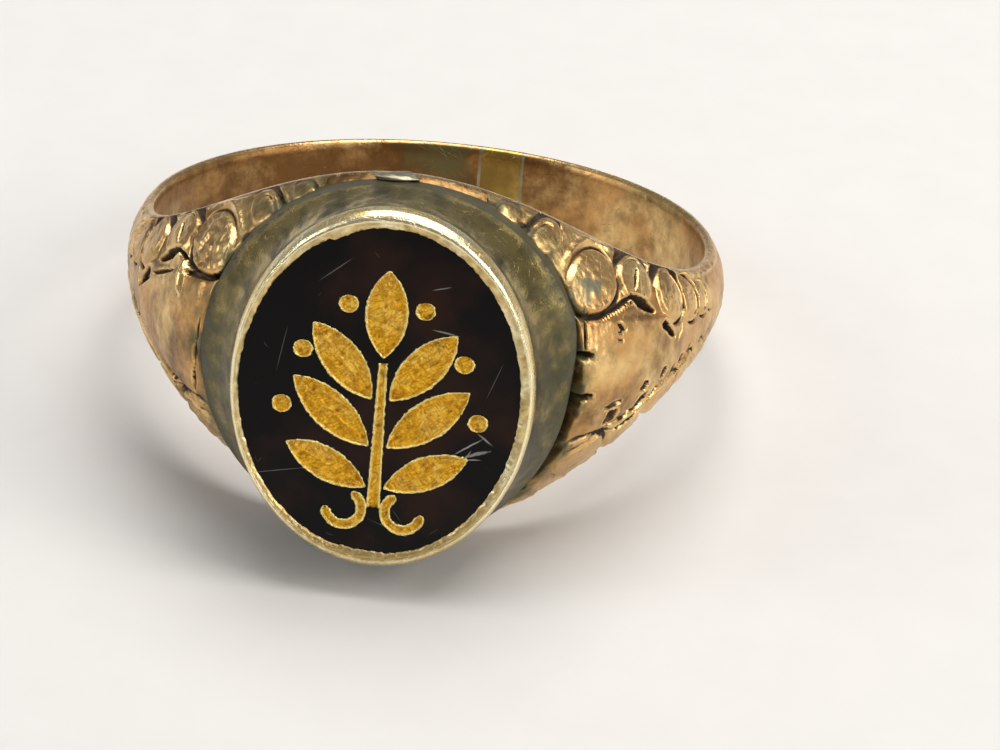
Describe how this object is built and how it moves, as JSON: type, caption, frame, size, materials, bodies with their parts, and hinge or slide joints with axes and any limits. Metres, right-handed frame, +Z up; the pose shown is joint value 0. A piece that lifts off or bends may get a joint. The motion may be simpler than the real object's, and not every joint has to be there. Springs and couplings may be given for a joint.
{
  "type": "signet ring",
  "caption": "Gold signet ring: an oval black stone with an engraved gilt sprig in a flared bezel, on a slim band with scroll-chased shoulders.",
  "frame": {"origin": "centre of the finger hole, midway along its wall", "axes": "+Z up from the surface the ring lies on, -Y the way the stone faces, +X across the ring to the right of a person facing the stone; the finger axis lies in the YZ plane, 13.94 degrees from +Z toward +Y, because the ring lies on the lower edge of its head and the lower edge of its band"},
  "size_m": [0.022, 0.0262, 0.0136],
  "materials": {
    "rose_gold": "worn polish over a coppery gold",
    "let_in_gold": "polished, yellower gold",
    "tarnished_gold": "dull grey-green tarnish",
    "pale_gold": "bright, scraped and burnished",
    "grey_solder": "dull grey solder",
    "leaf_gold": "rough gilding",
    "onyx": "opaque black stone, polished",
    "cement": "brown setting cement"
  },
  "bodies": {
    "root": {"band_left": "rose_gold", "band_right": "rose_gold", "let_in_piece": "let_in_gold", "let_in_seams": "grey_solder", "shoulder_left": "rose_gold", "shoulder_right": "rose_gold", "head_plate": "rose_gold", "collar": "tarnished_gold", "bezel_rim": "pale_gold", "stone_seat": "tarnished_gold", "stone_bed": "cement", "stone": "onyx", "solder_blob": "grey_solder", "sprig_stem": "leaf_gold", "sprig_tip_leaf": "leaf_gold", "sprig_upper_leaf_left": "leaf_gold", "sprig_upper_leaf_right": "leaf_gold", "sprig_middle_leaf_left": "leaf_gold", "sprig_middle_leaf_right": "leaf_gold", "sprig_lower_leaf_left": "leaf_gold", "sprig_lower_leaf_right": "leaf_gold", "sprig_curl_left": "leaf_gold", "sprig_curl_right": "leaf_gold", "sprig_berries": "leaf_gold"}
  },
  "joints": []
}
